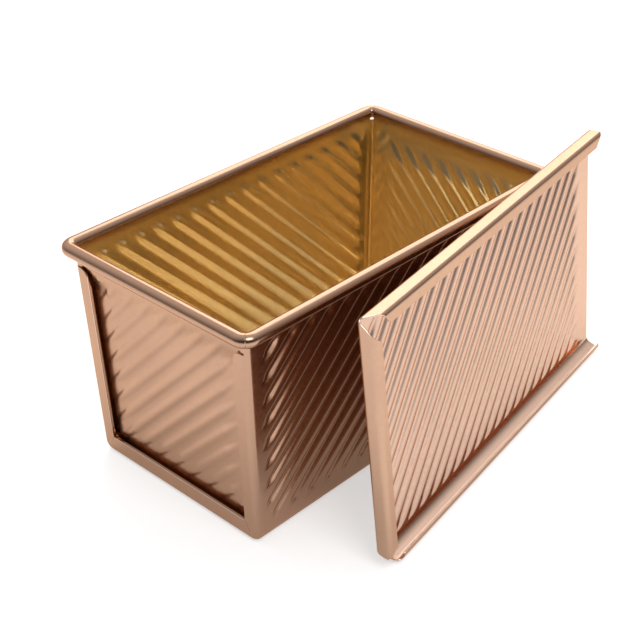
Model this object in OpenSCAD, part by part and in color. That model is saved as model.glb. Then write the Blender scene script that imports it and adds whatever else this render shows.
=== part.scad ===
// Corrugated pullman loaf pan with its sliding lid, shown with the lid taken off and leaning on the rim.
// X runs along the pan, Y across it and Z up. The origin is on the table under the middle of the pan.
// The pan is a U of sheet metal whose ends are folded in over two dished end plates.
// All three sheets roll outward at the top over one steel wire. The lid is one folded sheet.

/* [Rim] */
// Length of the pan over the rim bead
rim_l = 213; // [190:1:240]
// Width of the pan over the rim bead
rim_w = 123; // [105:1:140]
// Height from the table to the top of the rim bead
pan_h = 116.5; // [95:0.5:130]
// Diameter of the steel wire inside the rim bead
wire_d = 4.8; // [4.2:0.1:5.4]
// Free space between the wire and the sheet rolled round it
wire_play = 0.2; // [0.1:0.05:0.3]
// Radius of the wire's centre line at each corner of the rim
rim_corner_r = 4.5; // [4:0.1:6]
// Gap between the rolled edges where they meet at each corner
mitre_gap = 0.3; // [0.2:0.05:0.5]
// Size of the relief notch in the sheet under each corner of the rim
rim_notch = 1; // [0.5:0.1:2]
// Angle of the roll left open under the bead, beside the wall
roll_open = 52; // [48:1:70]

/* [Body] */
// Thickness of the sheet metal
sheet = 0.7; // [0.6:0.05:0.8]
// How far each long wall draws in from the rim down to the base
side_draw = 1.7; // [0.5:0.1:4]
// How far each end draws in from the rim down to the base
end_draw = 4.6; // [1:0.1:6]
// Outside radius of the bend between the base and the long walls
base_r = 5; // [4:0.5:8]
// Outside radius of the fold at each end of the body
fold_r = 3; // [2:0.25:3.5]
// Width of the flange folded in along the end of each long wall
flange_w = 8; // [6:0.5:10]
// Height of the flange folded up at each end of the base
flange_foot = 10; // [8:0.5:13]
// Drop from the underside of the bead to the top of the side flanges
flange_drop = 6; // [4:0.5:8]
// Radius of the round corner on the top of each side flange
flange_round = 4; // [2:0.5:6]

/* [End plates] */
// Free space between an end plate and the body that holds it
plate_play = 0.05; // [0.02:0.01:0.1]
// Depth to which the middle of each end plate is dished into the pan
dish_depth = 2.6; // [1.5:0.1:3.5]
// Width of the sloped shoulder round the dish
dish_slope = 2.2; // [1.5:0.1:3]
// How far the dish runs on behind the free edges of the flanges
dish_behind = 4.5; // [3:0.1:5]
// Plain height of the end plate between the bead and the dish
dish_drop = 1.6; // [0.8:0.1:3]

/* [Ribs] */
// Distance from one rib to the next, measured across the ribs
rib_pitch = 8; // [7:0.1:10]
// Width of a rib where it leaves the sheet
rib_w = 5.2; // [4:0.1:6]
// Height of a rib above the sheet
rib_h = 1; // [0.6:0.1:1.4]
// Slope of the ribs on the walls and the base
rib_angle = 45; // [35:1:55]
// Plain strip between the end of a long wall and its ribs
wall_rib_side = 4.5; // [3.5:0.5:10]
// Plain strip between the bead and the ribs of a long wall
wall_rib_top = 2.5; // [1.5:0.5:10]
// Plain strip between the table and the ribs of a long wall
wall_rib_foot = 9; // [7:0.5:15]
// Plain strip between the ribs of an end plate and the sides and foot of its dish
plate_rib_edge = 3.4; // [1:0.1:6]
// Plain strip between the ribs of an end plate and the top of its dish
plate_rib_top = 0.6; // [0.4:0.1:4]
// Plain strip round the ribs of the base, inside its bends
base_rib_edge = 5; // [3:0.5:12]

/* [Lid] */
// Free space between the rim and each long side of the lid when it is on the pan
lid_side_play = 0.8; // [0.4:0.1:1.5]
// Free height above the rim bead inside the lid's channels
lid_gap_play = 0.3; // [0.2:0.05:1]
// Free length between the rim and the closed end of the lid
lid_end_play = 1.8; // [0.5:0.1:3]
// Outside radius of the lid's folds
lid_fold_r = 2.4; // [1.6:0.1:2.8]
// Width of the lip that hooks under the rim
lip_w = 6.5; // [5:0.5:8]
// Width of the lip across the closed end
end_lip_w = 6; // [5:0.5:9]
// Slope of the ribs on the lid
lid_rib_angle = 48.5; // [40:0.5:55]
// Distance from one lid rib to the next, measured across the ribs
lid_rib_pitch = 7.7; // [7:0.1:10]
// Distance from the middle of the lid to the next rib, measured across the ribs
lid_rib_offset = 5.2; // [0:0.1:7]
// Plain strip between the long folds of the lid and its ribs
lid_rib_side = 3; // [2.5:0.5:8]
// Plain strip between the closed end of the lid and its ribs
lid_rib_near = 3; // [2.5:0.5:8]
// Plain strip at the open end of the lid
lid_rib_far = 10; // [5:0.5:15]
// How far the long channels are cut back at the closed end
notch_long = 9; // [7:0.5:14]
// How far the closed end's fold is cut back at each corner
notch_end = 7.5; // [5:0.5:10]
// How much further the lips are cut back along their slanted ends
notch_slant = 4.5; // [2:0.5:6]
// Radius of the lid's corner that stands on the table
foot_corner_r = 9; // [3:0.5:10]

/* [Resting place of the lid] */
// Angle between the lid's long edge and the pan's long side
lid_yaw = 9.5; // [6:0.5:14]
// Angle by which the lid leans back from upright
lid_lean = 5.6; // [3:0.2:8]
// Place of the lid's lower left corner along the pan
lid_foot_x = -71.8; // [-90:0.2:-60]
// Free space between the leaning lid and the rim that it leans on
lean_gap = 0.3; // [0.2:0.05:0.5]

/* [Hidden] */
$fn = 64;
// Past any edge that a cutting shape has to clear
over = 1;
// Small overlap that lets a rounded edge cross the flat faces cleanly
blend = 0.02;
// Longer than any piece of the model
far = 400;

// Rim bead, made by rolling the sheet over the wire
bead_d = wire_d + 2 * wire_play + 2 * sheet;
bead_r = bead_d / 2;
bead_z = pan_h - bead_r;
bead_under = pan_h - bead_d;
bead_x = rim_l / 2 - bead_r;
bead_y = rim_w / 2 - bead_r;
corner_x = bead_x - rim_corner_r;
corner_y = bead_y - rim_corner_r;

// Outside faces at the height of the wire: long wall, end plate border, and the flange folded over it
side_top = bead_y - bead_r + sheet;
plate_top = bead_x - bead_r + sheet;
form_top = plate_top + sheet + plate_play;
side_lean = atan(side_draw / bead_z);
end_lean = atan(end_draw / bead_z);
flange_top = bead_under - flange_drop;

// Round ridge of each rib, sunk so that only its crest stands out of the sheet
rib_r = (rib_w * rib_w / 4 + rib_h * rib_h) / (2 * rib_h);
rib_sink = rib_r - rib_h;

// Half length and half width of the body's outline at a height, drawn in by an inset
function side_at(z, inset = 0) = side_top - side_draw * (1 - z / bead_z) - inset / cos(side_lean);
function end_at(z, inset = 0) = form_top - end_draw * (1 - z / bead_z) - inset / cos(end_lean);

// Lid, folded from one sheet: x along it, y across it and z from its top face to its lips
lid_l = sheet + lid_end_play + rim_l;
lid_w = rim_w + 2 * lid_side_play + 2 * sheet;
lid_h = bead_d + lid_gap_play + 2 * sheet;
lid_foot_z = lid_fold_r * (1 - cos(lid_lean) - sin(lid_lean));
// Height of the upper ends of the lid's ribs, and the share of a rib's height that meets the rim there
lid_ribs_top = lid_foot_z + (lid_w - lid_rib_side) * cos(lid_lean);
rib_share = max(0, min(1, (lid_ribs_top - bead_z + bead_r / 2) / (bead_r / 2 + rib_w / 2)));
// How far a lid whose upper fold ends below the wire comes in under the bead
fold_touch = bead_r + lid_fold_r + lean_gap;
fold_short = max(0, (bead_z - lid_foot_z) / cos(lid_lean) - lid_w + lid_fold_r);
nestle = fold_touch - sqrt(max(0, fold_touch * fold_touch - fold_short * fold_short));
// The lid's back stays clear of the round corner of the rim that it leans on
lean_reach = corner_x * sin(lid_yaw) * cos(lid_lean) + corner_y * cos(lid_yaw) * cos(lid_lean)
    + bead_z * sin(lid_lean) + rim_corner_r * cos(lid_lean) + bead_r + rib_share * rib_h + lean_gap - nestle;
lid_foot_y = (lid_foot_x * sin(lid_yaw) * cos(lid_lean) + lid_foot_z * sin(lid_lean) - lean_reach)
    / (cos(lid_yaw) * cos(lid_lean));

// Upright cup outline with two sloping sides and round lower corners, drawn in by an inset
module cup_outline(top_half, draw, corner_r, inset, top) {
    lean = atan(draw / bead_z);
    r = corner_r - inset;
    line_at = function (z) top_half - draw * (1 - z / bead_z) - inset / cos(lean);
    cx = line_at(corner_r) - r / cos(lean);
    tangent = [cx + r * cos(lean), corner_r - r * sin(lean)];
    polygon([
        [-line_at(top), top],
        [-tangent[0], tangent[1]],
        [-cx, inset],
        [cx, inset],
        tangent,
        [line_at(top), top]
    ]);
    for (side = [-1, 1])
        translate([side * cx, corner_r]) circle(r);
}

// Rounds one upright corner of the body form, which leans out along both walls
module corner_cut(inset) {
    r = fold_r - inset;
    turn_x = -atan(side_draw / bead_z * cos(end_lean));
    translate([end_at(0, fold_r), side_at(0, fold_r), 0])
        rotate([turn_x, end_lean, 0])
        difference() {
            translate([0, 0, -fold_r]) cube([2 * fold_r, 2 * fold_r, pan_h + 2 * fold_r]);
            translate([0, 0, -2 * fold_r]) cylinder(r = r + blend, h = pan_h + 4 * fold_r);
        }
}

// Solid form of the pan's body, drawn in by an inset and open above
module body_form(inset, top) {
    difference() {
        intersection() {
            rotate([90, 0, 90]) linear_extrude(far, center = true)
                cup_outline(side_top, side_draw, base_r, inset, top);
            rotate([90, 0, 0]) linear_extrude(far, center = true)
                cup_outline(form_top, end_draw, fold_r, inset, top);
        }
        for (mx = [0, 1], my = [0, 1])
            mirror([mx, 0, 0]) mirror([0, my, 0]) corner_cut(inset);
    }
}

// Everything past the slanted plane of an end, between two heights, drawn in by an inset
module past_end(inset, low, high) {
    rotate([90, 0, 0]) linear_extrude(far, center = true)
        polygon([
            [end_at(low, inset), low],
            [far, low],
            [far, high],
            [end_at(high, inset), high]
        ]);
}

// Everything past a rim corner, from the relief notch up
module past_corner(corner) {
    translate([corner - rim_notch, -far / 2, bead_under - rim_notch]) cube([far, far, far]);
}

// Section of the rolled bead, centred on the wire, with the upright strip on its left that joins the wall
module bead_section() {
    difference() {
        circle(bead_r);
        circle(bead_r - sheet);
        polygon([
            [0, 0],
            [-2 * bead_r, 0],
            [-2 * bead_r, -2 * bead_r],
            2 * bead_r * [-cos(roll_open), -sin(roll_open)]
        ]);
    }
    translate([-bead_r, -bead_r]) square([sheet, bead_r]);
}

// Half of a round corner of the bead, from its straight end to the mitre
module bead_corner() {
    seam = mitre_gap / 2 / rim_corner_r * 180 / PI;
    rotate_extrude(angle = 45 - seam) translate([rim_corner_r, 0]) bead_section();
}

// Bead along one long side, with its half of both round corners
module side_bead() {
    translate([0, bead_y, bead_z]) rotate([90, 0, 90])
        linear_extrude(2 * corner_x, center = true) bead_section();
    for (mx = [0, 1])
        mirror([mx, 0, 0]) translate([corner_x, corner_y, bead_z])
            rotate([0, 0, 90]) mirror([0, 1, 0]) bead_corner();
}

// Bead across one end, with its half of both round corners
module end_bead() {
    translate([bead_x, 0, bead_z]) rotate([90, 0, 0])
        linear_extrude(2 * corner_y, center = true) bead_section();
    for (my = [0, 1])
        mirror([0, my, 0]) translate([corner_x, corner_y, bead_z]) bead_corner();
}

// One rib with round ends, along X, as the round bar whose crest stands out of the sheet
module rib(length, r) {
    rotate([0, 90, 0]) rotate_extrude() intersection() {
        union() {
            translate([0, -length / 2]) square([r, length]);
            for (end = [-1, 1])
                translate([0, end * length / 2]) circle(r);
        }
        translate([0, -length / 2 - r]) square([r, length + 2 * r]);
    }
}

// Ribs over a panel centred on the origin, with Z out of the panel and one rib at an offset from its middle.
// The same bars, thinner by the sheet, press the grooves behind the ribs.
module rib_field(size, angle, pitch, offset, groove) {
    r = groove ? rib_r - sheet : rib_r;
    half_x = size[0] / 2;
    half_y = size[1] / 2;
    reach = half_x * sin(angle) + half_y * cos(angle);
    for (i = [ceil(-(reach + offset) / pitch):floor((reach - offset) / pitch)]) {
        shift = offset + i * pitch;
        // Where the rib's line enters and leaves the panel, measured along it
        enter = max((shift * sin(angle) - half_x) / cos(angle), -(shift * cos(angle) + half_y) / sin(angle));
        leave = min((shift * sin(angle) + half_x) / cos(angle), (half_y - shift * cos(angle)) / sin(angle));
        length = leave - enter - rib_w;
        if (length > rib_w / 2)
            rotate([0, 0, angle]) translate([(enter + leave) / 2, shift, -rib_sink]) rib(length, r);
    }
}

// Ribs of the long wall on the +Y side, pressed in from outside
module wall_ribs(groove) {
    foot = wall_rib_foot / cos(side_lean);
    top = (bead_under - wall_rib_top) / cos(side_lean);
    half_l = end_at(0) - wall_rib_side;
    translate([0, side_at(0, sheet), 0]) rotate([90 + side_lean, 0, 180])
        translate([0, (foot + top) / 2, 0]) mirror([0, 0, 1])
        rib_field([2 * half_l, top - foot], rib_angle, rib_pitch, rib_pitch / 2, groove);
}

// Ribs of the base, pressed up into the pan so that it stands on its plain strips
module base_ribs(groove) {
    half_l = end_at(0) - fold_r - base_rib_edge;
    half_w = side_at(0) - base_r - base_rib_edge;
    translate([0, 0, sheet])
        rib_field([2 * half_l, 2 * half_w], rib_angle, rib_pitch, rib_pitch / 2, groove);
}

// Opening of the +X end of the body, framed by the flanges, which are rounded at their upper ends
module end_window() {
    low = side_at(flange_foot) - flange_w;
    high = side_at(flange_top) - flange_w;
    translate([end_at(0, 4 * sheet), 0, 0]) rotate([90, 0, 90]) linear_extrude(far) {
        polygon([[-low, flange_foot], [low, flange_foot], [high, flange_top], [-high, flange_top]]);
        for (my = [0, 1])
            mirror([my, 0]) translate([high - over, flange_top - flange_round]) difference() {
                square([flange_round + over, flange_round + over]);
                translate([flange_round + over, 0]) circle(flange_round);
            }
    }
}

// Body sheet: base, long walls, the flanges folded in at both ends, and the bead along both long sides
module body_shell() color([0.80, 0.64, 0.55]) {
    difference() {
        body_form(0, bead_under);
        difference() {
            body_form(sheet, bead_under + over);
            base_ribs(false);
            for (turn = [0, 180])
                rotate([0, 0, turn]) wall_ribs(false);
        }
        base_ribs(true);
        for (turn = [0, 180])
            rotate([0, 0, turn]) {
                wall_ribs(true);
                end_window();
                past_end(sheet + plate_play, flange_top, pan_h);
                past_corner(corner_x);
            }
    }
    for (my = [0, 1])
        mirror([0, my, 0]) side_bead();
}

// Block that fills the dish of an end plate, grown by a margin, with its floor at a depth.
// It is drawn on the plate's border, with X along the plate, Y up it and Z out of it.
module dish_block(grow, floor_depth) {
    low_y = flange_foot - dish_behind;
    high_y = bead_under - dish_drop;
    low_x = side_at(low_y) - flange_w + dish_behind;
    high_x = side_at(high_y) - flange_w + dish_behind;
    hull() {
        for (level = [[0, grow], [floor_depth, grow - dish_slope]])
            translate([0, 0, -level[0]]) linear_extrude(blend)
                polygon([
                    [-low_x - level[1], low_y - level[1]],
                    [low_x + level[1], low_y - level[1]],
                    [high_x + level[1], high_y + level[1]],
                    [-high_x - level[1], high_y + level[1]]
                ]);
    }
}

// Ribs of an end plate, standing out of the floor of its dish
module plate_ribs(groove) {
    low_y = flange_foot - dish_behind + dish_slope + plate_rib_edge;
    high_y = bead_under - dish_drop - dish_slope - plate_rib_top;
    half_w = side_at(low_y) - flange_w + dish_behind - dish_slope - plate_rib_edge;
    translate([0, (low_y + high_y) / 2, -dish_depth])
        rib_field([2 * half_w, high_y - low_y], rib_angle, rib_pitch, rib_pitch / 2, groove);
}

// End plate of the +X end: a border behind the flanges, a ribbed dish and its bead
module end_plate() {
    shoulder = atan(dish_depth / dish_slope);
    border = sheet + plate_play;
    difference() {
        union() {
            difference() {
                body_form(border, bead_under);
                difference() {
                    translate([-far, -far / 2, -far / 2]) cube([2 * far, far, far]);
                    past_end(border + sheet, -over, pan_h);
                }
                for (my = [0, 1])
                    mirror([0, my, 0]) rotate([0, 0, 90]) past_corner(corner_y);
            }
            on_end(border) dish_block(sheet * tan(shoulder / 2), dish_depth + sheet);
        }
        on_end(border) {
            difference() {
                dish_block(0, dish_depth);
                plate_ribs(false);
            }
            plate_ribs(true);
        }
    }
    end_bead();
}

// Carries a flat panel, drawn with X along it, Y up it and Z out of it, to the +X end of the body
module on_end(inset) {
    translate([end_at(0, inset), 0, 0]) rotate([0, end_lean, 0]) rotate([90, 0, 90]) children();
}

module end_plate_near() color([0.84, 0.69, 0.60]) rotate([0, 0, 180]) end_plate();

module end_plate_far() color([0.84, 0.69, 0.60]) end_plate();

// Steel wire inside the bead, a rectangle with round corners
module rim_wire() color([0.60, 0.60, 0.62]) {
    for (turn = [0, 180])
        rotate([0, 0, turn]) {
            translate([-corner_x, bead_y, bead_z]) rotate([0, 90, 0]) cylinder(d = wire_d, h = 2 * corner_x);
            translate([bead_x, corner_y, bead_z]) rotate([90, 0, 0]) cylinder(d = wire_d, h = 2 * corner_y);
            for (my = [0, 1])
                mirror([0, my, 0]) translate([corner_x, corner_y, bead_z])
                    rotate_extrude(angle = 90) translate([rim_corner_r, 0]) circle(d = wire_d);
        }
}

// Rectangle with round corners from one corner point to the other
module round_box(from, to, r) {
    translate([from[0] + r, from[1]]) square([to[0] - from[0] - 2 * r, to[1] - from[1]]);
    translate([from[0], from[1] + r]) square([to[0] - from[0], to[1] - from[1] - 2 * r]);
    for (x = [from[0] + r, to[0] - r], y = [from[1] + r, to[1] - r])
        translate([x, y]) circle(r);
}

// Solid form of the lid, drawn in by an inset: X along it from the closed end, Y across it, Z to its lips
module lid_form(inset, length) {
    r = lid_fold_r - inset;
    intersection() {
        rotate([90, 0, 90]) linear_extrude(length)
            round_box([inset, inset], [lid_w - inset, lid_h - inset], r);
        translate([0, lid_w, 0]) rotate([90, 0, 0]) linear_extrude(lid_w)
            round_box([inset, inset], [far, lid_h - inset], r);
    }
}

// Ribs of the lid, standing out of its top face
module lid_ribs(groove) {
    size = [lid_l - lid_rib_near - lid_rib_far, lid_w - 2 * lid_rib_side];
    translate([lid_rib_near + size[0] / 2, lid_w / 2, 0]) mirror([0, 0, 1])
        rib_field(size, lid_rib_angle, lid_rib_pitch, lid_rib_offset, groove);
}

// Opening between the lips
module lip_window() {
    translate([end_lip_w, lip_w, lid_h - 2 * sheet]) cube([far, lid_w - 2 * lip_w, 3 * sheet]);
}

// Cut that clears a corner of the closed end, from a point at the top face to a notch in the lips
module corner_notch() {
    hull() {
        translate([0, 0, lid_h]) linear_extrude(over)
            polygon([
                [-over, -over],
                [notch_long, -over],
                [notch_long, 0],
                [notch_long + notch_slant, lip_w],
                [end_lip_w, notch_end + notch_slant],
                [0, notch_end],
                [-over, notch_end]
            ]);
        translate([-over, -over, sheet]) cube([over + blend, over + blend, blend]);
    }
}

// Lid as folded, lying on its top face
module lid_flat() {
    difference() {
        union() {
            lid_form(0, lid_l);
            lid_ribs(false);
        }
        lid_form(sheet, lid_l + over);
        lid_ribs(true);
        lip_window();
        corner_notch();
        translate([0, lid_w, 0]) mirror([0, 1, 0]) corner_notch();
        translate([-over, -over, -rib_h - over]) difference() {
            cube([foot_corner_r + over, foot_corner_r + over, lid_h + rib_h + 2 * over]);
            translate([foot_corner_r + over, foot_corner_r + over, -over])
                cylinder(r = foot_corner_r, h = lid_h + rib_h + 4 * over);
        }
    }
}

// Lid in its resting place: on its long edge, leaning back on the pan's rim
module lid() color([0.86, 0.70, 0.62]) {
    translate([lid_foot_x, lid_foot_y, lid_foot_z]) rotate([90 - lid_lean, 0, lid_yaw]) lid_flat();
}

body_shell();
end_plate_near();
end_plate_far();
rim_wire();
lid();
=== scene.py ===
import math

import bpy
import numpy as np
from mathutils import Matrix, Vector

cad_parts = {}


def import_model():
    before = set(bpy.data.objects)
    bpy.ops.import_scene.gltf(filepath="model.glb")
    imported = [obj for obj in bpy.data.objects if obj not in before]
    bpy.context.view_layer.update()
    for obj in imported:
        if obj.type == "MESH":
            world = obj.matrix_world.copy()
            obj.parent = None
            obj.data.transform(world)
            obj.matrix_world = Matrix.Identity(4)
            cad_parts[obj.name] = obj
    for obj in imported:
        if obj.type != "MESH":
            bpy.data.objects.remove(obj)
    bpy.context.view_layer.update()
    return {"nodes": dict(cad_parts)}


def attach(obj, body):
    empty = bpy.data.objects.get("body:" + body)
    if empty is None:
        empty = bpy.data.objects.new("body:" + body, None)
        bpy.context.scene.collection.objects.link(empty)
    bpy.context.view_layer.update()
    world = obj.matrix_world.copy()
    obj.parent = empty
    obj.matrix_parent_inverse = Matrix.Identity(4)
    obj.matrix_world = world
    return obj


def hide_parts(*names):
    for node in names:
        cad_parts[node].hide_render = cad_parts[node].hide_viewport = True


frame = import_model()
MM = 0.001


# Materials

COPPER, COPPER_WARM = (0.50, 0.30, 0.205), (0.54, 0.325, 0.22)
# Inside colour: partly the coat's own gold, partly a painted yellow reflection of dough in the pan
INNER_GOLD_AND_PAINTED_REFLECTION = (0.94, 0.78, 0.50)
LID_BACK, LID_BACK_WARM = (0.54, 0.335, 0.23), (0.58, 0.36, 0.245)
# The lid's inner face is tinted lighter than the body's coat: a painted reflection of the bright light the lid
# catches
LID_FACE_PAINTED_LIGHT, LID_FACE_PAINTED_LIGHT_WARM = (0.64, 0.43, 0.33), (0.67, 0.45, 0.34)
WORN, WORN_WARM = (0.86, 0.72, 0.62), (0.80, 0.64, 0.54)
COAT_GLANCE = (1.0, 0.82, 0.68)
COAT_ROUGHNESS = 0.22
# Heights in metres between which the inner colour, with its painted reflection, gives way to the outer one
INNER_FADE = 0.1095, 0.1130


class Nodes:
    """Short calls for building a node tree."""

    def __init__(self, name):
        self.material = bpy.data.materials.new(name)
        self.material.use_nodes = True
        self.tree = self.material.node_tree
        self.tree.nodes.clear()

    def add(self, kind, links=None, **settings):
        node = self.tree.nodes.new(kind)
        for key, value in settings.items():
            setattr(node, key, value)
        for socket, source in (links or {}).items():
            target = node.inputs[socket]
            if isinstance(source, bpy.types.NodeSocket):
                self.tree.links.new(source, target)
            else:
                target.default_value = source
        return node

    def noise(self, position, scale, detail=3.0, rough=0.5):
        return self.add("ShaderNodeTexNoise", {"Vector": position, "Scale": scale, "Detail": detail,
                                               "Roughness": rough}).outputs["Fac"]

    def remap(self, value, low, high, to_low=0.0, to_high=1.0):
        return self.add("ShaderNodeMapRange", {"Value": value, "From Min": low, "From Max": high,
                                               "To Min": to_low, "To Max": to_high}).outputs["Result"]

    def math(self, operation, a, b):
        return self.add("ShaderNodeMath", {0: a, 1: b}, operation=operation).outputs[0]

    def vector(self, operation, a, b=None):
        links = {0: a} if b is None else {0: a, 1: b}
        return self.add("ShaderNodeVectorMath", links, operation=operation).outputs

    def finish(self, surface):
        self.add("ShaderNodeOutputMaterial", {"Surface": surface})
        return self.material

    def mix(self, factor, a, b):
        node = self.add("ShaderNodeMix", {"Factor": factor}, data_type="RGBA")
        for socket, source in ((node.inputs[6], a), (node.inputs[7], b)):
            if isinstance(source, bpy.types.NodeSocket):
                self.tree.links.new(source, socket)
            else:
                socket.default_value = source
        return node.outputs[2]


def rgb(r, g, b):
    return (r, g, b, 1.0)


def coating(name, base, warm, inner=None):
    """Satin non-stick coating on steel: broad changes of tint and a fine grain. An inner colour, partly the
    inside's own gold and partly a painted yellow reflection, ends just under the top of the rim."""
    n = Nodes(name)
    position = n.add("ShaderNodeTexCoord").outputs["Object"]
    broad = n.remap(n.noise(position, 14.0, 2.0), 0.35, 0.65)
    fine = n.noise(position, 420.0, 4.0, 0.6)
    colour = n.mix(broad, rgb(*base), rgb(*warm))
    if inner is not None:
        height = n.add("ShaderNodeSeparateXYZ", {"Vector": position}).outputs["Z"]
        colour = n.mix(n.remap(height, *INNER_FADE), rgb(*inner), colour)
    colour = n.mix(n.remap(fine, 0.3, 0.7, 0.0, 0.12), colour, rgb(*[0.8 * c for c in base]))
    rough = n.remap(fine, 0.3, 0.7, COAT_ROUGHNESS - 0.04, COAT_ROUGHNESS + 0.04)
    shader = n.add("ShaderNodeBsdfPrincipled", {"Base Color": colour, "Roughness": rough, "Metallic": 1.0,
                                                "Specular Tint": rgb(*COAT_GLANCE)})
    return n.finish(shader.outputs["BSDF"])


def drawn_steel(name):
    """Bare drawn wire: a fine grain and a few dull spots."""
    n = Nodes(name)
    position = n.add("ShaderNodeTexCoord").outputs["Object"]
    lines = n.noise(position, 1800.0, 2.0)
    dull = n.noise(position, 160.0, 3.0)
    colour = n.mix(n.remap(dull, 0.4, 0.7), rgb(0.55, 0.55, 0.56), rgb(0.42, 0.41, 0.40))
    rough = n.remap(lines, 0.3, 0.7, 0.22, 0.38)
    bump = n.add("ShaderNodeBump", {"Height": lines, "Strength": 0.1, "Distance": 0.0001})
    shader = n.add("ShaderNodeBsdfPrincipled", {"Base Color": colour, "Roughness": rough, "Metallic": 1.0,
                                                "Normal": bump.outputs["Normal"]})
    return n.finish(shader.outputs["BSDF"])


body_paint = coating("coating_body", COPPER, COPPER_WARM)
# Inside materials: the gold inner colour with its painted reflection, up to the rim
body_inside = coating("coating_body_inside_with_painted_reflection", COPPER, COPPER_WARM, INNER_GOLD_AND_PAINTED_REFLECTION)
end_paint = coating("coating_ends", COPPER, COPPER_WARM)
end_inside = coating("coating_ends_inside_with_painted_reflection", COPPER, COPPER_WARM, INNER_GOLD_AND_PAINTED_REFLECTION)
lid_paint = coating("coating_lid", LID_BACK, LID_BACK_WARM)
# The lid's inner face: the coat painted lighter than its back, as a painted reflection
lid_inside = coating("coating_lid_inside_painted_light", LID_FACE_PAINTED_LIGHT, LID_FACE_PAINTED_LIGHT_WARM)
worn_edge = coating("worn_edge", WORN, WORN_WARM)
wire_metal = drawn_steel("drawn_wire")
wire = frame["nodes"]["rim_wire"]
wire.data.materials.clear()
wire.data.materials.append(wire_metal)


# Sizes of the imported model, in millimetres

SHEET = 0.7
MID = SHEET / 2
EDGE_ROUND = 0.12

BEAD_R = 3.3
RING_R = BEAD_R - MID
BEAD_X, BEAD_Y, BEAD_Z = 103.2, 58.2, 113.2
BEAD_UNDER = BEAD_Z - BEAD_R
# Drop from the bead's middle to the lower end of the short upright strip beside it
BEAD_STRIP = 1.6
CORNER_R = 4.5
CORNER_X, CORNER_Y = BEAD_X - CORNER_R, BEAD_Y - CORNER_R
# Half the gap between two beads at a corner, as an angle round the corner
SEAM = 0.15 / CORNER_R
ROLL_OPEN = math.radians(52.0)

SIDE_TOP, SIDE_DRAW = 55.6, 1.7
FORM_TOP, END_DRAW = 101.35, 4.6
SIDE_LEAN, END_LEAN = math.atan(SIDE_DRAW / BEAD_Z), math.atan(END_DRAW / BEAD_Z)
BASE_R, FOLD_R = 5.0, 3.0
FLANGE_W, FLANGE_FOOT, FLANGE_TOP, FLANGE_ROUND = 8.0, 10.0, 103.9, 4.0
# Half width of the slit from the lower corners of the end's window, across and up
SLIT_Y, SLIT_Z = 0.14, 0.1

RIB_PITCH, RIB_W, RIB_H, RIB_ANGLE = 8.0, 5.2, 1.0, math.radians(45.0)
# Half the width of a rib's soft wave
RIB_REACH = 3.1
WALL_RIB_SIDE, WALL_RIB_TOP, WALL_RIB_FOOT = 4.5, 2.5, 9.0
BASE_RIB_EDGE = 5.0

PLATE_PLAY = 0.05
# Distance from the body's outside to a plate's side edge, and the radius of the plate's lower corners
PLATE_SIDE, PLATE_CORNER = 1.8, 3.2
DISH_DEPTH, DISH_SLOPE, DISH_TOP_SLOPE = 2.6, 2.2, 16.0
DISH_SIDE, DISH_FOOT, DISH_TOP, DISH_ROUND = 3.5, 5.5, 108.3, 5.0
PLATE_RIB_EDGE, PLATE_RIB_TOP, PLATE_RIB_TAPER = 3.4, 0.6, 14.0

LID_L, LID_W, LID_H, LID_FOLD = 215.5, 126.0, 8.3, 2.4
END_LIP, UPPER_LIP, LOWER_LIP = 6.0, 6.5, 4.0
NOTCH_LONG, NOTCH_END, NOTCH_SLANT = 9.0, 7.5, 4.5
FOOT_CORNER_R = 9.0
# Slant of the lips' ends at the lid's open end, and the length over which it is made up
UPPER_SLANT, LOWER_SLANT, SLANT_LENGTH = 7.0, 2.0, 25.0
# The lower border's web flares out, and the flare ends this far from the lid's edge
LID_FLARE, LID_FLARE_REACH = 3.6, 11.0
LID_RIB_H, LID_RIB_REACH, LID_RIB_TAPER = 1.0, 3.5, 9.0
LID_RIB_ANGLE, LID_RIB_PITCH, LID_RIB_OFFSET = math.radians(48.5), 7.7, 5.2
LID_RIB_SIDE, LID_RIB_NEAR, LID_RIB_FAR = 3.0, 3.0, 10.0
# Distances from the lid's lower edge between which its ribs grow to their full height
LID_RIB_FADE = 4.0, 14.0
LID_YAW, LID_LEAN = math.radians(9.5), math.radians(5.6)
LID_FOOT = np.array((-71.8, -102.7567, -0.2227))
LID_U = np.array((math.cos(LID_YAW), math.sin(LID_YAW), 0.0))
LID_V = np.array((-math.sin(LID_YAW) * math.sin(LID_LEAN), math.cos(LID_YAW) * math.sin(LID_LEAN),
                  math.cos(LID_LEAN)))
LID_N = np.cross(LID_U, LID_V)

# Mesh steps in millimetres, and the numbers of steps
STEP, LID_STEP = 1.05, 0.85
RING_STEPS = 22
LONG_COLUMNS, WIDE_COLUMNS = int(196 / STEP), int(98 / STEP)
DISH_ROWS = 90
# Steps round a fold, round a corner or across a flange, and those left of a fold above its flange
TURN_STEPS, OPEN_FOLD_STEPS = 7, 4
# A point inside the pan, which tells inside from outside
CENTRE = np.array((0.0, 0.0, 60.0))


def side_at(z, inset=0.0):
    """Distance from the middle of the pan to a long wall at height z."""
    return SIDE_TOP - SIDE_DRAW * (1 - z / BEAD_Z) - inset / math.cos(SIDE_LEAN)


def end_at(z, inset=0.0):
    """Distance from the middle of the pan to an end at height z."""
    return FORM_TOP - END_DRAW * (1 - z / BEAD_Z) - inset / math.cos(END_LEAN)


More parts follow.
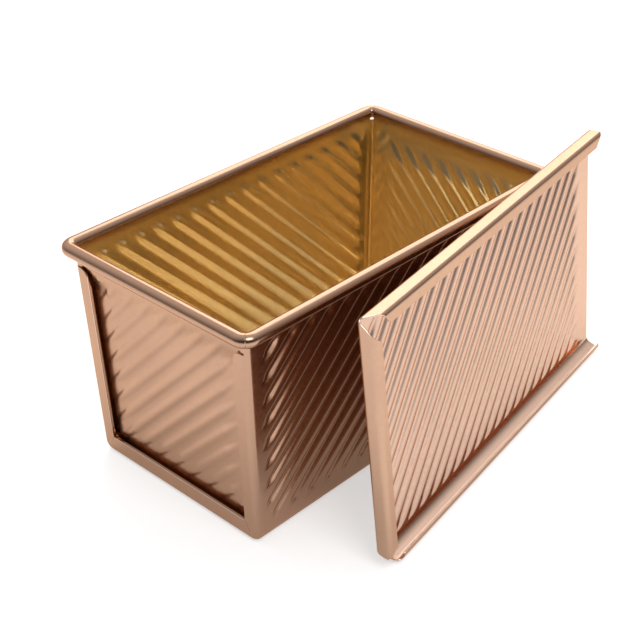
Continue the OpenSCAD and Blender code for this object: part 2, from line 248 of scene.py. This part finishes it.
def ribs(x, y, half_x, half_y, angle, pitch, offset, reach=RIB_REACH, taper=6.0):
    """Height of pressed ribs, 0 to 1, over a panel centred on the origin: soft waves that run out to points."""
    s, c = math.sin(angle), math.cos(angle)
    along, across = x * c + y * s, y * c - x * s
    shift = offset + pitch * np.round((across - offset) / pitch)
    enter = np.maximum((shift * s - half_x) / c, -(shift * c + half_y) / s)
    leave = np.minimum((shift * s + half_x) / c, (half_y - shift * c) / s)
    room = np.minimum(along - enter, leave - along)
    wave = 0.5 + 0.5 * np.cos(math.pi * np.clip(np.abs(across - shift) / reach, 0, 1))
    height = np.clip(wave - 1 + np.clip(room / taper, 0, 1), 0, None)
    return np.where(leave - enter > 1.5 * RIB_W, height, 0.0)


def unit(v):
    return v / np.maximum(np.linalg.norm(v, axis=-1, keepdims=True), 1e-12)


def sheet_metal(name, grids, body, node, materials):
    """One closed mesh from the middle surfaces of a bent sheet. Each grid has points, the cells to keep, a
    call that points outward from cell centres, and one that says which cells take the inside material, with its
    painted light."""
    points, faces, slots, sharp = [], [], [], []
    count = 0
    for grid, keep, outward, inner_tint_and_painted_light in grids:
        rows, columns = grid.shape[:2]
        flat = grid.reshape(-1, 3)
        # Points that fall together become one
        found = np.unique(np.round(flat * 1e3).astype(np.int64), axis=0, return_index=True, return_inverse=True)
        mid = flat[found[1]]
        back = found[2].reshape(rows, columns)
        quads = np.stack([back[:-1, :-1], back[:-1, 1:], back[1:, 1:], back[1:, :-1]], -1)[keep]
        cells = []
        for quad in quads.tolist():
            cell = [v for k, v in enumerate(quad) if v != quad[k - 1]]
            if len(set(cell)) == len(cell) >= 3:
                cells.append(cell)
        # Normals from the diagonals of each cell
        corner = np.array([cell if len(cell) == 4 else cell + cell[2:] for cell in cells])
        across = mid[corner[:, 2]] - mid[corner[:, 0]]
        other = mid[corner[:, 3]] - mid[corner[:, 1]]
        tri = np.array([len(cell) == 3 for cell in cells])
        other[tri] = mid[corner[tri, 2]] - mid[corner[tri, 1]]
        normal = np.cross(across, other)
        centre = mid[corner].mean(1)
        if (normal * outward(centre)).sum() < 0:
            cells = [cell[::-1] for cell in cells]
            normal = -normal
        at = np.zeros_like(mid)
        for cell, n in zip(cells, normal):
            at[cell] += n
        at = unit(at)
        half = at * MID
        n_mid = len(mid)
        outer, inner = mid + half, mid - half
        inside = inner_tint_and_painted_light(centre)
        # Free borders get a thin rounded edge
        seen = {}
        for cell in cells:
            for k, a in enumerate(cell):
                seen[(cell[k - 1], a)] = True
        border = [(a, b) for a, b in seen if (b, a) not in seen]
        lip = np.zeros_like(mid)
        for a, b in border:
            side = np.cross(mid[b] - mid[a], at[a] + at[b])
            side /= max(np.linalg.norm(side), 1e-12)
            lip[a] += side
            lip[b] += side
        lip = unit(lip) * EDGE_ROUND
        tight = at * (MID - EDGE_ROUND)
        used = sorted({v for pair in border for v in pair})
        place = {v: k for k, v in enumerate(used)}
        rim_out, rim_in = (mid + lip + tight)[used], (mid + lip - tight)[used]
        points += [outer, inner, rim_out, rim_in]
        o, i = count, count + n_mid
        ro, ri = count + 2 * n_mid, count + 2 * n_mid + len(used)
        # Inner faces of the chosen cells take slot 1, whose tint holds painted light
        for cell, painted_inner in zip(cells, inside):
            faces.append([o + v for v in cell])
            slots.append(0)
            faces.append([i + v for v in reversed(cell)])
            slots.append(1 if painted_inner else 0)
        for a, b in border:
            pa, pb = place[a], place[b]
            faces += [[o + b, o + a, ro + pa, ro + pb], [ro + pb, ro + pa, ri + pa, ri + pb],
                      [ri + pb, ri + pa, i + a, i + b]]
            slots += [2, 2, 2]
            sharp += [(o + a, o + b), (i + a, i + b)]
        count += 2 * n_mid + 2 * len(used)
    points = np.concatenate(points) * MM
    # Points that no face uses are left out
    used = np.zeros(len(points), bool)
    for face in faces:
        used[face] = True
    new = np.cumsum(used) - 1
    faces = [[int(new[v]) for v in face] for face in faces]
    mesh = bpy.data.meshes.new(name)
    mesh.from_pydata(points[used].tolist(), [], faces)
    mesh.polygons.foreach_set("use_smooth", [True] * len(faces))
    mesh.polygons.foreach_set("material_index", slots)
    for material in materials:
        mesh.materials.append(material)
    pairs = np.empty(2 * len(mesh.edges), np.int64)
    mesh.edges.foreach_get("vertices", pairs)
    pairs = np.sort(pairs.reshape(-1, 2), axis=1)
    total = len(points)
    wanted = np.sort(new[np.array(sharp)], axis=1)
    hard = np.isin(pairs[:, 0] * total + pairs[:, 1], wanted[:, 0] * total + wanted[:, 1])
    mesh.attributes.new("sharp_edge", "BOOLEAN", "EDGE").data.foreach_set("value", hard)
    mesh.update()
    piece = bpy.data.objects.new(name, mesh)
    bpy.context.scene.collection.objects.link(piece)
    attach(piece, body)
    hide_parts(node)
    return piece


def from_centre(at):
    return at - CENTRE


def in_pan(at):
    """Cells whose inner face takes the gold inner colour with its painted reflection: up to the bead, with a
    little of the bead's inner side.
    """
    x, y, z = at.T
    return (z < BEAD_Z + 0.1) & (np.abs(y) < BEAD_Y - RING_R + 0.4) & (np.abs(x) < BEAD_X - RING_R + 0.4)


def ring_angles():
    """Angles round the bead's section, from the open end of the roll to the wall."""
    return np.linspace(ROLL_OPEN - math.pi, math.pi, RING_STEPS + 1)


def corner_angles():
    """Angles from the end of a straight bead to the seam in the middle of its corner."""
    return np.arange(1, TURN_STEPS + 1) / TURN_STEPS * (math.pi / 4 - SEAM)


def smooth(share):
    return share * share * (3 - 2 * share)


# Body: a U of sheet with rolled edges and flanges folded in at both ends

def body_sheet():
    fold = FOLD_R - MID
    bend = BASE_R - MID
    turn = ring_angles()
    wall_z = np.concatenate([np.arange(BEAD_UNDER, FLANGE_TOP - 0.5, -1.0),
                             FLANGE_TOP - FLANGE_ROUND * (1 - np.cos(np.radians(90 - np.arange(90, 0, -15)))),
                             np.arange(FLANGE_TOP - FLANGE_ROUND, BASE_R + 0.5, -1.0)])
    wall_z = np.unique(np.round(wall_z, 4))[::-1]
    cx = side_at(BASE_R, MID) - bend / math.cos(SIDE_LEAN)
    beta = np.radians([0.0, -12, -24, -35, -42, -45, -48, -55, -66, -78, -90])
    beta[0] = -SIDE_LEAN
    base_y = np.linspace(cx, -cx, int(2 * cx / STEP))[1:-1]
    strip_z = np.array([BEAD_Z - BEAD_STRIP])
    BEAD, WALL, BEND, BASE = range(4)
    # Section of one side: y, z, the inward normal's y and z, and the kind
    half = [(BEAD_Y + RING_R * np.cos(turn), BEAD_Z + RING_R * np.sin(turn), 0 * turn - 1, 0 * turn, BEAD),
            (BEAD_Y - RING_R + 0 * strip_z, strip_z, 0 * strip_z - 1, 0 * strip_z, BEAD),
            (side_at(wall_z, MID), wall_z, 0 * wall_z - math.cos(SIDE_LEAN),
             0 * wall_z + math.sin(SIDE_LEAN), WALL),
            (cx + bend * np.cos(beta), BASE_R + bend * np.sin(beta), -np.cos(beta), -np.sin(beta), BEND)]
    y, z, ny, nz = (np.concatenate([part[k] for part in half]) for k in range(4))
    kind = np.concatenate([np.full(len(part[0]), part[4]) for part in half])
    y = np.concatenate([y, base_y, -y[::-1]])
    z = np.concatenate([z, 0 * base_y + MID, z[::-1]])
    ny = np.concatenate([ny, 0 * base_y, -ny[::-1]])
    nz = np.concatenate([nz, 0 * base_y + 1, nz[::-1]])
    kind = np.concatenate([kind, np.full(len(base_y), BASE), kind[::-1]])
    sign = np.where(y < 0, -1.0, 1.0)
    bead = kind == BEAD
    # Columns along the straight part
    half_x = np.where(bead, CORNER_X, end_at(z, MID) - fold)
    t = np.linspace(-1, 1, LONG_COLUMNS)
    x = half_x[:, None] * t
    up = z / math.cos(SIDE_LEAN)
    foot, top = WALL_RIB_FOOT / math.cos(SIDE_LEAN), (BEAD_UNDER - WALL_RIB_TOP) / math.cos(SIDE_LEAN)
    wall_h = ribs(-sign[:, None] * x, (up - (foot + top) / 2)[:, None] + 0 * x, end_at(0.0) - WALL_RIB_SIDE,
                  (top - foot) / 2, RIB_ANGLE, RIB_PITCH, RIB_PITCH / 2)
    base_h = ribs(x, y[:, None] + 0 * x, end_at(0.0) - FOLD_R - BASE_RIB_EDGE,
                  side_at(0.0) - BASE_R - BASE_RIB_EDGE, RIB_ANGLE, RIB_PITCH, RIB_PITCH / 2)
    h = RIB_H * np.where((kind == WALL)[:, None], wall_h, np.where((kind == BASE)[:, None], base_h, 0))
    middle = np.stack([x, y[:, None] + ny[:, None] * h, z[:, None] + nz[:, None] * h], -1)
    # Fold at the end, or the round corner of the bead
    theta = np.radians([15.0, 30, 45, 58, 69, 80, 90])
    corner = np.stack([end_at(z, MID), y, z], -1)[:, None]
    inward = unit(np.stack([END_DRAW / BEAD_Z * nz, ny, nz], -1))[:, None]
    ahead = np.array((1.0, 0, 0))
    folded = (corner - fold * (1 - np.sin(theta))[None, :, None] * ahead
              + fold * (1 - np.cos(theta))[None, :, None] * inward)
    phi = corner_angles()
    radius = (CORNER_R + np.abs(y) - BEAD_Y)[:, None]
    rounded = np.stack([CORNER_X + radius * np.sin(phi), sign[:, None] * (CORNER_Y + radius * np.cos(phi)),
                        z[:, None] + 0 * phi], -1)
    folded = np.where(bead[:, None, None], rounded, folded)
    # Flange up to the window, with a slit from each lower corner of the window to the middle of the bend
    key_y = side_at(FLANGE_FOOT) - FLANGE_W
    drop = np.clip(z - FLANGE_TOP + FLANGE_ROUND, 0, FLANGE_ROUND)
    edge_y = side_at(z) - FLANGE_W + FLANGE_ROUND - np.sqrt(FLANGE_ROUND ** 2 - drop ** 2)
    edge_z = z.copy()
    wall_low = (z < FLANGE_FOOT) & (kind == WALL) | (kind == BEND)
    base_low = (kind == BASE) & (np.abs(y) > key_y)
    edge_y = np.where(wall_low | base_low, key_y, np.where(kind == BASE, np.abs(y), edge_y))
    edge_z = np.where(wall_low | (kind == BASE), FLANGE_FOOT, edge_z)
    lean = np.arctan2(z - BASE_R, np.abs(y) - cx)
    over = (kind == WALL) | (kind == BEND) & (lean > math.radians(-44))
    under = (kind == BASE) | (lean < math.radians(-46))
    slit = np.where(wall_low | base_low, np.where(over, 1.0, np.where(under, -1.0, 0.0)), 0.0)
    edge_y = edge_y + SLIT_Y * slit
    edge_z = edge_z + SLIT_Z * slit
    edge = np.stack([end_at(edge_z, MID), sign * edge_y, edge_z], -1)[:, None]
    share = (np.arange(1, TURN_STEPS + 1) / TURN_STEPS)[None, :, None]
    flange = folded[:, -1:] + (edge - folded[:, -1:]) * share
    side = np.concatenate([folded, flange], 1)
    mirror = side[:, ::-1] * np.array((-1.0, 1, 1))
    grid = np.concatenate([mirror, middle, side], 1)
    # Cells that exist: each row keeps this many beyond the straight part
    columns = grid.shape[1] - 1
    n_side = side.shape[1]
    column = np.arange(columns)
    out = np.maximum(np.maximum(n_side - column, column - columns + n_side + 1), 0)
    both = bead[:-1] & bead[1:]
    one = bead[:-1] != bead[1:]
    low = (z[:-1] < FLANGE_TOP + 0.01) & (z[1:] < FLANGE_TOP + 0.01)
    limit = np.where(both, TURN_STEPS, np.where(one, 0, np.where(low, 2 * TURN_STEPS, OPEN_FOLD_STEPS)))
    in_bend = (kind[1:] == BEND) & (kind[:-1] == BEND)
    slit_row = in_bend & ((slit[:-1] == 0) != (slit[1:] == 0))
    limit = np.where(slit_row, TURN_STEPS + 2, limit)
    keep = out[None, :] <= limit[:, None]
    return sheet_metal("body_sheet", [(grid, keep, from_centre, in_pan)], "pan", "body_shell",
                       (body_paint, body_inside, worn_edge))


# End plates: a flat border, a ribbed dish and a rolled edge

def plate_sheet(name, node, way):
    """One end plate, turned half round for the end at negative X (way -1)."""
    lean = END_LEAN
    turn = ring_angles()[::-1]
    shoulder = np.array([0, 0.18, 0.36, 0.52, 0.66, 0.8, 0.9, 1.0]) * DISH_SLOPE
    h = np.concatenate([[1.8, 2.3, 3, 4, 4.8], DISH_FOOT + shoulder,
                        np.linspace(DISH_FOOT + DISH_SLOPE, DISH_TOP - DISH_SLOPE, DISH_ROWS)[1:-1],
                        DISH_TOP - shoulder[::-1], [BEAD_UNDER / math.cos(lean)]])
    wide = side_at(h * math.cos(lean)) - PLATE_SIDE
    low = np.clip((BASE_R - h) / PLATE_CORNER, 0, 1)
    wide = wide - PLATE_CORNER * (1 - np.sqrt(1 - low ** 2))
    steps = np.concatenate([[0, 0.6, 1.15], DISH_SIDE - PLATE_SIDE + shoulder])
    inner = wide - steps[-1]
    t = np.linspace(-1, 1, WIDE_COLUMNS)[1:-1]
    y = np.concatenate([-wide[:, None] + steps, inner[:, None] * t, (wide[:, None] - steps)[:, ::-1]], 1)
    centre_h, half_h = (DISH_FOOT + DISH_TOP) / 2, (DISH_TOP - DISH_FOOT) / 2
    half_y = side_at(h)[:, None] - DISH_SIDE
    qy, qh = np.abs(y) - half_y + DISH_ROUND, np.abs(h[:, None] - centre_h) - half_h + DISH_ROUND
    deep = DISH_ROUND - np.hypot(np.maximum(qy, 0), np.maximum(qh, 0)) - np.minimum(np.maximum(qy, qh), 0)
    share = np.clip(np.minimum(deep / DISH_SLOPE, (DISH_TOP - h[:, None]) / DISH_TOP_SLOPE), 0, 1)
    low_h, high_h = DISH_FOOT + DISH_SLOPE + PLATE_RIB_EDGE, DISH_TOP - DISH_SLOPE - PLATE_RIB_TOP
    rib = ribs(y, h[:, None] - (low_h + high_h) / 2 + 0 * y,
               side_at(low_h) - DISH_SIDE - DISH_SLOPE - PLATE_RIB_EDGE, (high_h - low_h) / 2,
               RIB_ANGLE, RIB_PITCH, RIB_PITCH / 2, taper=PLATE_RIB_TAPER)
    depth = RIB_H * rib - DISH_DEPTH * smooth(share)
    x0 = end_at(0.0, SHEET + PLATE_PLAY + MID)
    hh = h[:, None] + 0 * y
    plate = np.stack([x0 + depth * math.cos(lean) + hh * math.sin(lean), y,
                      hh * math.cos(lean) - depth * math.sin(lean)], -1)
    # Upright strip and bead
    off = np.concatenate([[-RING_R], RING_R * np.cos(turn)])
    z = np.concatenate([[BEAD_Z - BEAD_STRIP], BEAD_Z + RING_R * np.sin(turn)])
    bead_y = y[-1] / wide[-1] * CORNER_Y
    bead = np.stack(np.broadcast_arrays(BEAD_X + off[:, None], bead_y[None, :], z[:, None]), -1)
    middle = np.concatenate([plate, bead], 0)
    n_plate = len(h)
    phi = corner_angles()
    radius = np.concatenate([np.full(n_plate, CORNER_R), CORNER_R + off])[:, None]
    all_z = middle[:, 0, 2][:, None]
    arc = np.stack(np.broadcast_arrays(CORNER_X + radius * np.cos(phi), CORNER_Y + radius * np.sin(phi),
                                       all_z), -1)
    grid = np.concatenate([arc[:, ::-1] * np.array((1.0, -1, 1)), middle, arc], 1)
    rows, columns = grid.shape[0] - 1, grid.shape[1] - 1
    column = np.arange(columns)
    at_corner = (column < TURN_STEPS) | (column >= columns - TURN_STEPS)
    in_bead = np.arange(rows) >= n_plate
    keep = ~at_corner[None, :] | in_bead[:, None]
    grid = grid * np.array((way, way, 1.0))
    return sheet_metal(name, [(grid, keep, from_centre, in_pan)], "pan", node,
                       (end_paint, end_inside, worn_edge))


# Lid: one folded sheet with a channel along three sides

def lid_profile(p, lip):
    """Distance in from the lid's outline and height over its flat face, at length p of the folded border."""
    r = LID_FOLD - MID
    quarter = r * math.pi / 2
    web = LID_H - 2 * LID_FOLD
    a = np.clip(p / r, 0, math.pi / 2)
    b = np.clip((p - quarter - web) / r, 0, math.pi / 2)
    straight = np.clip(p - quarter, 0, web)
    flat = np.clip(p - 2 * quarter - web, 0, lip - LID_FOLD)
    inset = LID_FOLD - r * np.sin(a) + r * (1 - np.cos(b)) + flat
    height = LID_FOLD - r * np.cos(a) + straight + r * np.sin(b)
    return inset, height


def notch_height(u, v):
    """Height over the flat face up to which the border stands near a cut corner of the lid."""
    outline = np.array([(0.0, NOTCH_END), (END_LIP, NOTCH_END + NOTCH_SLANT),
                        (NOTCH_LONG + NOTCH_SLANT, UPPER_LIP), (NOTCH_LONG, 0.0)])
    angle = np.arctan2(v, u)
    bends = np.arctan2(outline[1:3, 1], outline[1:3, 0])
    part = np.where(angle > bends[0], 0, np.where(angle > bends[1], 1, 2))
    a, b = outline[part], outline[part + 1]
    d = b - a
    share = (u * d[..., 1] - v * d[..., 0]) / (a[..., 0] * d[..., 1] - a[..., 1] * d[..., 0])
    return SHEET + (LID_H - SHEET) * share


def lid_border(start, outward, lip):
    """Points (u, v, n) of the folded border that grows from each start point, cut back at the notches."""
    r = LID_FOLD - MID
    quarter, web = r * math.pi / 2, LID_H - 2 * LID_FOLD
    stops = np.concatenate([np.linspace(0, quarter, 8), quarter + np.linspace(0, web, 4)[1:],
                            quarter + web + np.linspace(0, quarter, 8)[1:],
                            2 * quarter + web + np.linspace(0, lip - LID_FOLD, 6)[1:]])

    def at(p):
        inset, height = lid_profile(p, lip)
        return start[:, None] + outward[:, None] * (LID_FOLD - inset)[..., None], height

    fine = np.broadcast_to(np.linspace(0, stops[-1], 400), (len(start), 400))
    place, height = at(fine)
    u, v = place[..., 0], place[..., 1]
    free = np.minimum(notch_height(u, v), notch_height(u, LID_W - v)) - height
    cut = free < 0
    first = np.where(cut.any(1), cut.argmax(1), 399)
    before = np.maximum(first - 1, 0)
    row = np.arange(len(start))
    f0, f1 = free[row, before], free[row, first]
    share = np.where(cut.any(1), f0 / np.maximum(f0 - f1, 1e-9), 1.0)
    end = fine[row, before] + share * (fine[row, first] - fine[row, before])
    p = np.minimum(stops[None, 1:], end[:, None])
    place, height = at(p)
    return np.concatenate([place, height[..., None]], -1)


def lid_sheet():
    r = FOOT_CORNER_R - LID_FOLD
    psi = np.radians(np.arange(90, -1, -10.0))
    long = LID_W - FOOT_CORNER_R - LID_FOLD
    straight = np.linspace(FOOT_CORNER_R, LID_W - LID_FOLD, int(long / LID_STEP))[1:]
    far_psi = np.radians(np.arange(15, 91, 15.0))
    v = np.concatenate([FOOT_CORNER_R - r * np.sin(psi), straight, np.full(len(far_psi), LID_W - LID_FOLD)])
    u0 = np.concatenate([FOOT_CORNER_R - r * np.cos(psi), np.full(len(straight) + len(far_psi), LID_FOLD)])
    out = np.concatenate([np.stack([-np.cos(psi), -np.sin(psi)], -1), np.tile((-1.0, 0.0), (len(straight), 1)),
                          np.stack([-np.cos(far_psi), np.sin(far_psi)], -1)])
    start = np.stack([u0, v], -1)
    t = np.linspace(0, 1, int(LID_L / LID_STEP))
    u = u0[:, None] + t * (LID_L - u0)[:, None]
    vv = v[:, None] + 0 * u
    half_u, half_v = (LID_L - LID_RIB_NEAR - LID_RIB_FAR) / 2, LID_W / 2 - LID_RIB_SIDE
    rib = ribs(u - LID_RIB_NEAR - half_u, vv - LID_W / 2, half_u, half_v, LID_RIB_ANGLE, LID_RIB_PITCH,
               LID_RIB_OFFSET, LID_RIB_REACH, LID_RIB_TAPER)
    fade = np.clip((vv - LID_RIB_FADE[0]) / (LID_RIB_FADE[1] - LID_RIB_FADE[0]), 0, 1)
    panel = np.stack([u, vv, MID - LID_RIB_H * rib * fade], -1)
    end_side = lid_border(start, out, END_LIP)[:, ::-1]
    near = lid_border(np.stack([u[0], vv[0]], -1), np.tile((0.0, -1.0), (len(t), 1)), LOWER_LIP)
    far = lid_border(np.stack([u[-1], vv[-1]], -1), np.tile((0.0, 1.0), (len(t), 1)), UPPER_LIP)
    # The lips, past most of their fold, end on a slant at the open end
    for border, inset, slant in ((near, near[..., 1], LOWER_SLANT), (far, LID_W - far[..., 1], UPPER_SLANT)):
        lip = np.where(border[..., 2] > LID_H - LID_FOLD + 1.5, np.clip((inset - MID) / UPPER_LIP, 0, 1), 0.0)
        border[..., 0] -= slant * lip * np.clip((border[..., 0] - LID_L + SLANT_LENGTH) / SLANT_LENGTH, 0, 1)
    near, far = near.transpose(1, 0, 2)[::-1], far.transpose(1, 0, 2)
    n_end, n_near = end_side.shape[1], near.shape[0]
    fill_near = np.repeat(near[:, :1], n_end, 1)
    fill_far = np.repeat(far[:, :1], n_end, 1)
    grid = np.concatenate([np.concatenate([fill_near, near], 1), np.concatenate([end_side, panel], 1),
                           np.concatenate([fill_far, far], 1)], 0)
    rows, columns = grid.shape[0] - 1, grid.shape[1] - 1
    row, column = np.arange(rows)[:, None], np.arange(columns)[None, :]
    keep = (column >= n_end) | (row >= n_near) & (row < n_near + len(v) - 1)
    # The lower border's web flares out a little
    low = np.clip((LID_FLARE_REACH - grid[..., 1]) / (LID_FLARE_REACH - LID_FOLD), 0, 1)
    up = np.clip(1 - grid[..., 2] / (LID_H - MID), 0, 1)
    grid[..., 1] += LID_FLARE * up * smooth(low)
    place = LID_FOOT + grid[..., :1] * LID_U + grid[..., 1:2] * LID_V + grid[..., 2:] * LID_N

    def away(at):
        return np.broadcast_to(-LID_N, at.shape)

    def everywhere(at):
        return np.ones(len(at), bool)

    return sheet_metal("lid_sheet", [(place, keep, away, everywhere)], "lid", "lid",
                       (lid_paint, lid_inside, worn_edge))


body_sheet()
plate_sheet("plate_sheet_near", "end_plate_near", -1.0)
plate_sheet("plate_sheet_far", "end_plate_far", 1.0)
lid_sheet()


# Floor, light and camera, in metres

FLOOR_SIZE, FLOOR_DROP = 6.0, 0.0002
FLOOR_TINT, FLOOR_GLOW = 0.78, 0.55
# The floor's glow in reflections fades between these distances from the pan's middle, down to the last value
POOL = 0.4, 0.8, 0.08
# Beside the pan it starts at the last value, a painted shade close to the pan in reflections, and is whole this
# far out
PAN_MIDDLE, PAN_HALF, BESIDE, BESIDE_GLOW = (0.0, -0.02, 0.0), (0.1, 0.075, 0.0), 0.08, 0.45
SKY_TOWARD, SKY_DIM, SKY_BRIGHT = (0.35, 0.45, 0.82), 0.06, 0.85
# The photograph's size, focal length and the point that the lens looks at, in pixels
PICTURE, FOCAL, LOOK_X, LOOK_Y = 640.0, 1397.0, 339.44, 359.95


def floor():
    """White to the camera, with the shadow of the pan, and a pool of light round the pan in reflections, dimmed
    close beside the pan as painted shade.
    """
    n = Nodes("floor")
    path = n.add("ShaderNodeLightPath")
    position = n.add("ShaderNodeTexCoord").outputs["Object"]
    far = n.vector("LENGTH", position)["Value"]
    beside = n.vector("ABSOLUTE", n.vector("SUBTRACT", position, PAN_MIDDLE)["Vector"])["Vector"]
    beside = n.vector("MAXIMUM", n.vector("SUBTRACT", beside, PAN_HALF)["Vector"], (0.0, 0.0, 0.0))["Vector"]
    near = n.vector("LENGTH", beside)["Value"]
    pool = n.math("MULTIPLY", n.remap(far, POOL[0], POOL[1], 1.0, POOL[2]),
                  n.remap(near, 0.0, BESIDE, BESIDE_GLOW, 1.0))
    mirrored = n.math("MAXIMUM", path.outputs["Is Glossy Ray"], path.outputs["Is Transmission Ray"])
    seen = n.math("MAXIMUM", path.outputs["Is Camera Ray"], n.math("MULTIPLY", mirrored, pool))
    matte = n.add("ShaderNodeBsdfDiffuse", {"Color": rgb(FLOOR_TINT, FLOOR_TINT, FLOOR_TINT)})
    glow = n.add("ShaderNodeEmission", {"Color": rgb(1.0, 1.0, 1.0),
                                        "Strength": n.math("MULTIPLY", seen, FLOOR_GLOW)})
    both = n.add("ShaderNodeAddShader", {0: matte.outputs[0], 1: glow.outputs[0]})
    mesh = bpy.data.meshes.new("floor")
    corners = [(x * FLOOR_SIZE, y * FLOOR_SIZE, 0) for x, y in ((-1, -1), (1, -1), (1, 1), (-1, 1))]
    mesh.from_pydata(corners, [], [(0, 1, 2, 3)])
    mesh.materials.append(n.finish(both.outputs[0]))
    plane = bpy.data.objects.new("floor", mesh)
    bpy.context.scene.collection.objects.link(plane)
    plane.location.z = -FLOOR_DROP


def softbox(name, place, target, size, power):
    lamp = bpy.data.lights.new(name, "AREA")
    lamp.shape = "RECTANGLE"
    lamp.size = lamp.size_y = size
    lamp.energy = power
    holder = bpy.data.objects.new(name, lamp)
    holder.location = place
    holder.rotation_euler = (Vector(target) - Vector(place)).to_track_quat("-Z", "Y").to_euler()
    bpy.context.scene.collection.objects.link(holder)


def camera():
    """The photograph's own view, worked out from its edges."""
    lens = bpy.data.cameras.new("photo_view")
    lens.sensor_fit = "HORIZONTAL"
    lens.sensor_width = 36.0
    lens.lens = lens.sensor_width * FOCAL / PICTURE
    lens.shift_x = (PICTURE / 2 - LOOK_X) / PICTURE
    lens.shift_y = (LOOK_Y - PICTURE / 2) / PICTURE
    lens.clip_start = 0.01
    lens.clip_end = 50.0
    right, up = Vector((0.679995, -0.733217, 0.0)), Vector((0.40669, 0.37717, 0.832073))
    back = right.cross(up)
    place = Matrix((right, up, back)).transposed().to_4x4()
    place.translation = Vector((-0.421802, -0.405068, 0.418229))
    eye = bpy.data.objects.new("photo_view", lens)
    eye.matrix_world = place
    bpy.context.scene.collection.objects.link(eye)
    bpy.context.scene.camera = eye


def world():
    """A plain studio: bright above and behind the pan, dim in front."""
    space = bpy.data.worlds.new("studio")
    space.use_nodes = True
    tree = space.node_tree
    tree.nodes.clear()
    shade = tree.nodes.new("ShaderNodeBackground")
    shade.inputs["Color"].default_value = rgb(1.0, 1.0, 1.0)
    direction = tree.nodes.new("ShaderNodeTexCoord")
    toward = tree.nodes.new("ShaderNodeVectorMath")
    toward.operation = "DOT_PRODUCT"
    toward.inputs[1].default_value = SKY_TOWARD
    soft = tree.nodes.new("ShaderNodeMapRange")
    soft.inputs["From Min"].default_value = -0.1
    soft.inputs["From Max"].default_value = 0.9
    soft.inputs["To Min"].default_value = SKY_DIM
    soft.inputs["To Max"].default_value = SKY_BRIGHT
    tree.links.new(direction.outputs["Generated"], toward.inputs[0])
    tree.links.new(toward.outputs["Value"], soft.inputs["Value"])
    tree.links.new(soft.outputs["Result"], shade.inputs["Strength"])
    out = tree.nodes.new("ShaderNodeOutputWorld")
    tree.links.new(shade.outputs[0], out.inputs[0])
    bpy.context.scene.world = space


floor()
world()
softbox("back", (0.84, 0.52, 0.80), (0.0, 0.0, 0.08), 1.05, 6.5)
softbox("key", (-0.25, -0.80, 1.10), (0.0, 0.0, 0.05), 0.6, 5.0)
camera()
bpy.context.scene.view_settings.view_transform = "Standard"
